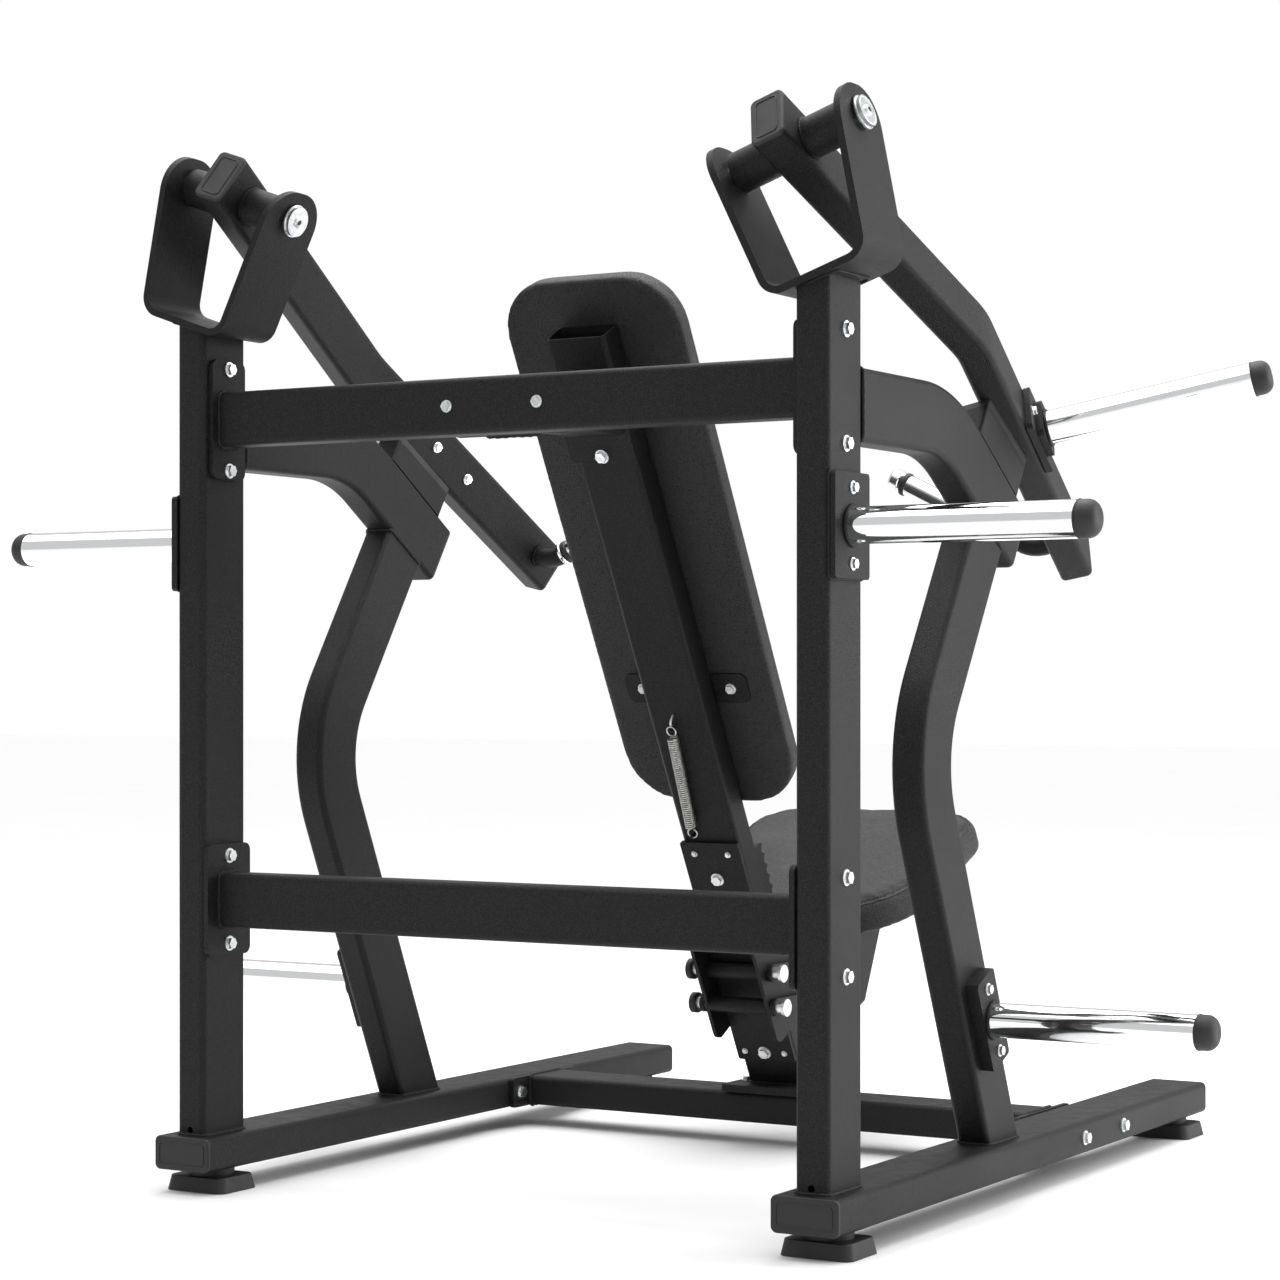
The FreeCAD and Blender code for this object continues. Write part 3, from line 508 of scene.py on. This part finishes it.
def slab(centre, u, v, outward, half_u, half_v, corners, profile):
    """Closed upholstered slab: profile is (height, growth) pairs from its back to its face."""
    return skin([outline(centre + outward * height, u, v, half_u, half_v, corners, PAD_STEPS, grow)
                 for height, grow in profile])


def swell(piece, start, normals, outward, cap):
    """Blow the pad up against its cover and keep the swelling within the cap."""
    cloth = piece.modifiers.new("stuffing", "CLOTH")
    cloth.settings.use_pressure = True
    cloth.settings.uniform_pressure_force = 4.0
    cloth.settings.effector_weights.gravity = 0.0
    cloth.settings.tension_stiffness = 12
    cloth.settings.bending_stiffness = 0.4
    cloth.settings.quality = 4
    cloth.point_cache.frame_start = 1
    cloth.point_cache.frame_end = CLOTH_FRAMES
    for step in range(1, CLOTH_FRAMES + 1):
        bpy.context.scene.frame_set(step)
    swollen = piece.evaluated_get(bpy.context.evaluated_depsgraph_get())
    moved = [v.co.copy() for v in swollen.data.vertices]
    piece.modifiers.clear()
    bpy.context.scene.frame_set(1)
    for vertex, normal, (place, hold) in zip(piece.data.vertices, normals, start):
        rise = min(max((moved[vertex.index] - place).dot(normal), -0.0005), cap)
        if normal.dot(outward) < 0.4:
            rise = min(rise, 0.0015)
        vertex.co = place + normal * (rise * hold)
    piece.data.update()


def applied(piece, name):
    """The piece's mesh with its modifiers made real."""
    bpy.context.view_layer.update()
    mesh = bpy.data.meshes.new_from_object(piece.evaluated_get(bpy.context.evaluated_depsgraph_get()))
    piece.modifiers.clear()
    piece.data = mesh
    mesh.name = name
    mesh.update()
    return mesh


def cushion(name, shape, replaced, body, centre, outward, deep, inset, cap):
    """A stuffed pad: flat on its board, swollen on its open face, nearly plain at its sides."""
    points, faces = shape
    solid = bpy.data.meshes.new(name)
    solid.from_pydata([tuple(p) for p in points], [], faces)
    piece = bpy.data.objects.new(name, solid)
    bpy.context.scene.collection.objects.link(piece)
    remesh = piece.modifiers.new("even", "REMESH")
    remesh.mode = "VOXEL"
    remesh.voxel_size = 0.0055
    even = applied(piece, name)
    normals = [v.normal.copy() for v in even.vertices]
    start = []
    for vertex, normal in zip(even.vertices, normals):
        height = (vertex.co - centre).dot(outward) / deep
        hold = min(max((height - 0.25) / 0.25, 0.0), 1.0)
        facing = abs(normal.dot(outward))
        inward = (inset * facing + 0.0008 * (1 - facing)) * hold
        start.append((vertex.co - normal * inward, hold))
    for vertex, (place, _) in zip(even.vertices, start):
        vertex.co = place
    even.update()
    swell(piece, start, normals, outward, cap)
    smooth = piece.modifiers.new("smooth", "SMOOTH")
    smooth.factor = 0.4
    smooth.iterations = 3
    calm = applied(piece, name)
    for polygon in calm.polygons:
        polygon.use_smooth = True
    rounder = piece.modifiers.new("rounder", "SUBSURF")
    rounder.levels = 1
    rounder.render_levels = 1
    finish_piece(piece, "black_vinyl", body)
    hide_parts(*replaced)
    return piece


def laid_on(piece, path, proud):
    """A path pressed onto a pad's cover."""
    cover = BVHTree.FromPolygons([v.co for v in piece.data.vertices],
                                 [tuple(f.vertices) for f in piece.data.polygons])
    laid = []
    for point in path:
        place, normal, _, _ = cover.find_nearest(point)
        laid.append(place + normal * proud)
    return laid


def seam(name, piece, path, body):
    """A thin welt round the pad's face."""
    points, faces = sweep(laid_on(piece, path, 0.0002), 0.0011, 8, True)
    return make(name, points, faces, "black_vinyl", body)


def stitches(name, piece, path, body):
    """A row of lock stitches beside the welt."""
    laid = laid_on(piece, path, 0.0003)
    runs = []
    for i in range(len(laid) - 1):
        end = laid[i].lerp(laid[i + 1], 0.62)
        runs.append(sweep([laid[i], (laid[i] + end) / 2, end], 0.00045, 6))
    points, faces = join_lists(runs)
    return make(name, points, faces, "black_vinyl", body)


def sewn(label, piece, centre, u, v, half, corners, insets, body):
    """The welt and the stitches, each at its own distance inside the pad's outline."""
    for inset, kind in zip(insets, (seam, stitches)):
        tighter = [corner - inset for corner in corners]
        line = outline(centre, u, v, half[0] - inset, half[1] - inset, tighter, PAD_STEPS)
        kind(label + "_" + kind.__name__, piece, evenly(line, 0.006), body)


PAD_WIDE, PAD_LONG, PAD_DEEP, PAD_CORNER = 0.298, 0.880, 0.046, 0.085
PAD_BOTTOM_Z = 0.504
STRIP_PROUD = 0.0025           # the bolted strip stands this far off the pad's cover
pad_back = on_back(PAD_BOTTOM_Z, -TUBE_THIN - STRIP_PROUD) + BACK_UP * (PAD_LONG / 2)
pad_deep = PAD_DEEP - STRIP_PROUD
pad_half = (PAD_WIDE / 2, PAD_LONG / 2)
pad_corners = [PAD_CORNER] * 4
pad_profile = [(0, -0.0035), (0.0012, -0.0010), (0.0035, 0), (pad_deep - 0.012, 0),
               (pad_deep - 0.0035, -0.0035), (pad_deep, -0.012)]
back_shape = slab(pad_back, X, BACK_UP, -BACK_REAR, *pad_half, pad_corners, pad_profile)
back_cushion = cushion("back_cushion", back_shape, ("back_pad", "back_board"), "frame",
                       pad_back, -BACK_REAR, pad_deep, 0.004, 0.007)
sewn("back", back_cushion, pad_back - BACK_REAR * pad_deep, X, BACK_UP, pad_half, pad_corners,
     (0.005, 0.011), "frame")

SEAT_WIDE, SEAT_LONG, SEAT_DEEP = 0.430, 0.405, 0.056
seat_base = SEAT_REAR + SEAT_WAY * (SEAT_LONG / 2)
seat_half = (SEAT_WIDE / 2, SEAT_LONG / 2)
seat_corners = [0.075, 0.075, 0.150, 0.150]
seat_profile = [(0.0005, -0.010), (0.0008, -0.0045), (0.0035, -0.0010), (0.008, 0),
                (SEAT_DEEP - 0.018, 0), (SEAT_DEEP - 0.0053, -0.0053), (SEAT_DEEP, -0.018)]
seat_shape = slab(seat_base, X, SEAT_WAY, SEAT_UP, *seat_half, seat_corners, seat_profile)
seat_cushion = cushion("seat_cushion", seat_shape, ("seat_pad", "seat_board"), "seat",
                       seat_base, SEAT_UP, SEAT_DEEP, 0.005, 0.009)
sewn("seat", seat_cushion, seat_base + SEAT_UP * SEAT_DEEP, X, SEAT_WAY, seat_half, seat_corners,
     (0.007, 0.013), "seat")


# ---------------------------------------------------------------- seat spring

EYE_HIGH, EYE_LOW, EYE_LIFT = 0.650, 0.483, 0.011
WIRE, HOOK_WIRE = 0.0011, 0.0019
COIL_RADIUS, COIL_TURNS, TURN_STEPS = 0.0083, 44, 14
EYE_RADIUS, EYE_WIRE = 0.0078, 0.0013


def coil(start, end, radius, turns):
    way = (end - start).normalized()
    side = way.cross(X).normalized()
    up = way.cross(side)
    length = (end - start).length
    steps = turns * TURN_STEPS
    path = []
    for i in range(steps + 1):
        angle = 2 * math.pi * i / TURN_STEPS
        outward = side * math.cos(angle) + up * math.sin(angle)
        path.append(start + way * (length * i / steps) + outward * radius)
    return path


def seat_spring():
    """Tension spring down the rear of the back post, with a hooked eye at each end."""
    high = on_back(EYE_HIGH, EYE_LIFT) + X * 0.008
    low = on_back(EYE_LOW, EYE_LIFT) + X * 0.020
    way = (low - high).normalized()
    across = way.cross(BACK_REAR).normalized()
    turns = coil(high + way * 0.015, low - way * 0.015, COIL_RADIUS, COIL_TURNS)
    wound = [sweep(turns, WIRE, 8)]
    for eye, toward, last in ((high, way, turns[0]), (low, -way, turns[-1])):
        loop = [eye + toward * (0.0038 - EYE_RADIUS * math.cos(angle)) + across * (EYE_RADIUS * math.sin(angle))
                for angle in (math.radians(205 + 320 * k / 24) for k in range(25))]
        wound.append(sweep(loop + [loop[-1].lerp(last, 0.35), loop[-1].lerp(last, 0.7), last], EYE_WIRE, 8))
    spring = make("seat_coil_spring", *join_lists(wound), "spring_steel", "frame")
    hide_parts("seat_spring")


def spring_hook():
    """Bent rod on the back post that holds the spring's upper eye."""
    path = []
    for k in range(15):
        share = k / 14
        bow = math.sin(math.radians(180 * share)) ** 0.8
        path.append(on_back(0.668 - 0.018 * share, -0.002 + 0.013 * bow) + X * (0.004 + 0.004 * share))
    make("spring_hook", *sweep(path, HOOK_WIRE, 10), "spring_steel", "frame")


seat_spring()
spring_hook()


# ---------------------------------------------------------------- what each side carries

# name, distance along the handle, length, radius, slot, own finish, chamfer
GRIP_STACK = (("grip_collar", 0.0, 0.007, 0.0215, "chrome", None, 0.0015),
              ("grip_inner_ring", 0.007, 0.010, 0.0190, "black_rubber", COLLAR_RUBBER, 0.002),
              ("grip_sleeve", 0.017, 0.201, 0.0170, "chrome", GRIP_CHROME, 0.0008),
              ("grip_outer_ring", 0.218, 0.009, 0.0190, "black_rubber", COLLAR_RUBBER, 0.002),
              ("grip_end", 0.227, 0.023, 0.0172, "chrome", None, 0.005))
PIN_END = 0.115                # outer face of a pivot pin's cap, from the pivot's middle
PIN_BUTTON = [(0, 0.002), (0, 0.0078), (0.0028, 0.0078), (0.0036, 0.0068), (0.0036, 0.002)]
HOUSING_HALF, HOUSING_RADIUS = 0.0262, 0.0283
BRACKET_FOOT = 0.1945          # pivot axis to the bracket's underside
HORN_RADIUS = 0.025


def turned(length, radius, chamfer):
    """Profile of a short turned bar, chamfered at both ends."""
    return [(0, radius * 0.2), (0, radius - chamfer), (chamfer, radius), (length - chamfer, radius),
            (length, radius - chamfer), (length, radius * 0.2)]


def grips(label, side):
    """Turned pieces of the handle, from the collar after its bend to its end."""
    root = on_arm(HANDLE_AT) - AXIS * HANDLE_STUB
    start = root + GRIP_WAY * (HANDLE_RADIUS * math.tan(math.radians(22.5)))
    for kind, along, length, radius, slot, material, chamfer in GRIP_STACK:
        shape = lathe(mirrored(start + GRIP_WAY * along, side), mirrored(GRIP_WAY, side),
                      turned(length, radius, chamfer), 56)
        piece = make("%s_%s" % (kind, label), *shape, slot, "arm_" + label, True, material)
        soften(piece, 0.0006, 25)
        if kind == "grip_sleeve":
            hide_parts("hand_grip_" + label)


def plug_lines(name, centre, way, u, v, half_u, half_v, body):
    """Moulded line and shallow raised panel on a plastic end plug."""
    top = centre + way * 0.0052
    ring = sweep(box_path(top, u, v, half_u - 0.009, half_v - 0.009, 0.006), 0.0009, 8, True)
    outer = sweep(box_path(top - way * 0.0008, u, v, half_u - 0.004, half_v - 0.004, 0.007), 0.0007, 8, True)
    make(name, *join_lists([ring, outer]), "black_plastic", body)


def end_plugs(label, side):
    """Lines on the plugs of the arm, the base tube and the side rail."""
    def here(vector):
        return mirrored(vector, side)

    arm = (ARM_TALL / 2, TUBE_THIN / 2)
    base = (TUBE_WIDE / 2, TUBE_THIN / 2)
    base_middle = Vector((FRAME_HALF, REAR, GROUND + TUBE_THIN / 2))
    for name, centre, way, u, v, half, body in (
            ("arm_rear", PIVOT - ALONG * ARM_REAR, -ALONG, here(ARM_UP), here(AXIS), arm, "arm_" + label),
            ("arm_front", on_arm(ARM_LENGTH), ARM_WAY, here(ARM_UP), here(ARM_OUT), arm, "arm_" + label),
            ("base_rear", base_middle + Y * BASE_REAR, Y, X, Z, base, "frame"),
            ("base_front", base_middle - Y * BASE_FRONT, -Y, X, Z, base, "frame"),
            ("rail", RAIL_CORNER + RAIL_WAY * RAIL_FRONT, RAIL_WAY, X, RAIL_UP, base[::-1], "frame")):
        plug_lines("%s_plug_line_%s" % (name, label), here(centre), here(way), u, v, *half, body)


def pin_caps(label, side):
    """Turned step and centre button on both ends of the pivot pin, with the hexagon socket's hollow drawn as a
    flat black sheet of painted shade.
    """
    for end, name in ((1, "outer"), (-1, "inner")):
        out = mirrored(AXIS * end, side)
        face = mirrored(PIVOT + AXIS * (end * PIN_END), side)
        rim = sweep(ring_path(face - out * 0.0004, out, 0.0195, 64), 0.0007, 8, True)
        button = lathe(face - out * 0.001, out, PIN_BUTTON, 40)
        make("pin_cap_button_%s_%s" % (name, label), *join_lists([rim, button]), "zinc_hardware", "frame")
        # painted shade: the hexagon socket is a flat black sheet just above the button, standing in for the
        # dark of its hollow
        socket = ring_path(face + out * 0.0027, out, 0.0042, 6)
        make("pin_socket_%s_%s" % (name, label), socket, [tuple(range(6))], "black_plastic", "frame", False)


def weight_horns(label, side):
    """Bead where each sleeve meets its plate, and lip where its rubber cap begins."""
    post_plate, leg_plate, arm_plates, half_tube = 0.010, 0.020, 0.020, TUBE_THIN / 2
    for name, start, way, length, body in (
            ("post", Vector((OUTER + post_plate, REAR, GROUND + POST_HORN_Z)), X, 0.317, "frame"),
            ("leg", on_leg(LEG_HORN_Z) + X * (half_tube + leg_plate), X, 0.307, "frame"),
            ("arm", on_arm(ARM_HORN_AT) + ARM_OUT * (half_tube + arm_plates), ARM_OUT, 0.306,
             "arm_" + label)):
        out = mirrored(way, side)
        root = mirrored(start, side)
        ring = sweep(ring_path(root + out * 0.0015, out, HORN_RADIUS + 0.0012, 64), 0.0026, 8, True)
        make("%s_horn_weld_%s" % (name, label), *ring, "black_steel", body)
        lip = sweep(ring_path(root + out * (length + 0.002), out, HORN_RADIUS - 0.0003, 64), 0.0012, 8, True)
        make("%s_cap_lip_%s" % (name, label), *lip, "black_rubber", body)


def side_welds(label, side):
    """Beads on the side frame, the pivot bracket and the press arm."""
    def here(vector):
        return mirrored(vector, side)

    def bead(name, centre, u, v, half_u, half_v, corner=TUBE_CORNER, size=0.0032):
        path = box_path(here(centre), u, v, half_u, half_v, corner)
        weld("%s_weld_%s" % (name, label), path, "frame", size)

    thin, wide, body = TUBE_THIN / 2, TUBE_WIDE / 2, "arm_" + label
    post = Vector((FRAME_HALF, REAR, GROUND))
    bead("post_foot", post + Z * (TUBE_THIN + ON_FACE), X, Y, thin, wide)
    bead("rail_root", post - Y * (wide + ON_FACE) + Z * RAIL_Z, X, Z, thin, wide)
    bead("leg_foot", on_leg(TUBE_THIN) + Z * ON_FACE, X, Y, thin, wide / math.cos(LEG_LEAN), 0.010)
    bead("leg_top", RAIL_CORNER + RAIL_WAY * (RAIL_FRONT - LEG_OFFSET) - RAIL_UP * (wide + ON_FACE),
         X, RAIL_WAY, thin, wide)
    bead("bracket", PIVOT - RISE * BRACKET_FOOT, here(AXIS), Y, thin / math.cos(TILT), wide, size=0.0018)
    for end, name in ((1, "outer"), (-1, "inner")):
        ring = ring_path(here(PIVOT + AXIS * (end * HOUSING_HALF)), here(AXIS), HOUSING_RADIUS, 90)
        weld("housing_weld_%s_%s" % (name, label), ring, body, 0.0016)
    stub = ring_path(here(on_arm(HANDLE_AT) - AXIS * (thin + ON_FACE)), here(AXIS), 0.0165, 80)
    weld("stub_weld_" + label, stub, body, 0.0026)
    for name, height in (("upper_bar", UPPER_BAR_Z), ("lower_bar", LOWER_BAR_Z)):
        bead(name, post - X * (thin + FLANGE) + Z * height, Y, Z, thin, BAR_TALL / 2)
    bead("cross_member", post - X * (wide + FLANGE) - Y * CROSS_MEMBER_Y + Z * thin, Y, Z, wide, thin)
    post_plate = Vector((OUTER + ON_FACE, REAR, GROUND + POST_HORN_Z))
    bead("post_plate", post_plate, Y, Z, 0.050, 0.070, 0.006, 0.002)


for label, side in SIDES:
    for dress in (grips, end_plugs, pin_caps, weight_horns, side_welds):
        dress(label, side)


# ---------------------------------------------------------------- between the sides

LINK_PINS = (("upper", -0.686, 0.257), ("lower", -0.697, 0.202))
SPACER = [(0, 0.003), (0, 0.0118), (0.0006, 0.0124), (0.1034, 0.0124), (0.104, 0.0118), (0.104, 0.003)]
LINK_CAP = [(0, 0.003), (0, 0.0165), (0.0095, 0.0165), (0.0110, 0.014), (0.0110, 0.003)]
FOOT_PLATE = 0.012

for name, y, z in LINK_PINS:
    middle = Vector((0, REAR + y, GROUND + z))
    make("link_spacer_" + name, *lathe(middle - X * 0.052, X, SPACER), "black_steel", "frame")
    make("link_cap_" + name, *lathe(middle + X * 0.0765, X, LINK_CAP), "black_plastic", "frame")

foot_z = TUBE_THIN + FOOT_PLATE
foot_half = TUBE_THIN / 2 / math.cos(LEAN)
foot_y = BACK_TOP.y - (BACK_TOP.z - GROUND - foot_z) * math.tan(LEAN) - foot_half
foot = Vector((0, foot_y, GROUND + foot_z + ON_FACE))
weld("back_post_foot_weld", box_path(foot, X, Y, TUBE_WIDE / 2, foot_half, TUBE_CORNER), "frame")
strut_end = Vector((0, REAR - TUBE_THIN / 2 - FLANGE, GROUND + UPPER_BAR_Z))
weld("strut_root_weld", box_path(strut_end, X, Z, TUBE_WIDE / 2, BAR_TALL / 2, TUBE_CORNER), "frame")


# ---------------------------------------------------------------- studio

FLOOR_SIZE, FLOOR_CELLS = 60.0, 24


def floor():
    """Wide flat grid just under the feet."""
    row = FLOOR_CELLS + 1
    points = [(FLOOR_SIZE * (i / FLOOR_CELLS - 0.5), FLOOR_SIZE * (j / FLOOR_CELLS - 0.5), -0.0006)
              for j in range(row) for i in range(row)]
    faces = [(j * row + i, j * row + i + 1, (j + 1) * row + i + 1, (j + 1) * row + i)
             for j in range(FLOOR_CELLS) for i in range(FLOOR_CELLS)]
    mesh = bpy.data.meshes.new("studio_floor")
    mesh.from_pydata(points, [], faces)
    mesh.materials.append(studio_floor())
    ground = bpy.data.objects.new("studio_floor", mesh)
    bpy.context.scene.collection.objects.link(ground)


floor()

view_way = Vector((0.50900, -0.86076, 0.0)).normalized()
lens = bpy.data.cameras.new("camera")
lens.lens = 85.47
lens.sensor_width = 36.0
lens.shift_y = 0.0346
camera = bpy.data.objects.new("camera", lens)
camera.location = (-2.33326, 4.16839, 0.74828)
camera.rotation_euler = view_way.to_track_quat("-Z", "Y").to_euler()
bpy.context.scene.collection.objects.link(camera)
bpy.context.scene.camera = camera


def softbox(name, place, target, wide, tall, power):
    light = bpy.data.lights.new(name, "AREA")
    light.shape = "RECTANGLE"
    light.size = wide
    light.size_y = tall
    light.energy = power
    lamp = bpy.data.objects.new(name, light)
    lamp.location = place
    lamp.rotation_euler = (Vector(target) - Vector(place)).to_track_quat("-Z", "Y").to_euler()
    bpy.context.scene.collection.objects.link(lamp)


softbox("side_softbox", (-4.2, -2.6, 2.0), (0, 0.1, 0.8), 3.4, 3.0, 150.0)
softbox("top_softbox", (0.0, -0.6, 4.4), (0, 0, 0), 4.0, 4.0, 160.0)

overcast = bpy.data.lights.new("overcast", "SUN")
overcast.energy = 2.3
overcast.angle = math.radians(100)
sun = bpy.data.objects.new("overcast", overcast)
sun.rotation_euler = (0, 0, 0)
bpy.context.scene.collection.objects.link(sun)


def background(sky, strength, node=None):
    """A plain white background at a strength."""
    node = node or sky.nodes.new("ShaderNodeBackground")
    node.inputs[0].default_value = (1.0, 1.0, 1.0, 1.0)
    node.inputs[1].default_value = strength
    return node


def surroundings():
    """White to look at, part white in mirrors and dim as a light."""
    world = bpy.data.worlds.new("studio")
    world.use_nodes = True
    sky = world.node_tree
    backdrop = background(sky, 1.0, sky.nodes["Background"])
    surround = background(sky, 0.34)
    rays = sky.nodes.new("ShaderNodeLightPath")
    choice = sky.nodes.new("ShaderNodeMixShader")
    shown = sky.nodes.new("ShaderNodeMath")
    shown.operation = "MULTIPLY_ADD"
    shown.inputs[1].default_value = 0.45
    sky.links.new(rays.outputs["Is Glossy Ray"], shown.inputs[0])
    sky.links.new(rays.outputs["Is Camera Ray"], shown.inputs[2])
    sky.links.new(shown.outputs[0], choice.inputs[0])
    sky.links.new(surround.outputs[0], choice.inputs[1])
    sky.links.new(backdrop.outputs[0], choice.inputs[2])
    sky.links.new(choice.outputs[0], sky.nodes["World Output"].inputs[0])
    bpy.context.scene.world = world


surroundings()
bpy.context.scene.view_settings.view_transform = "Standard"
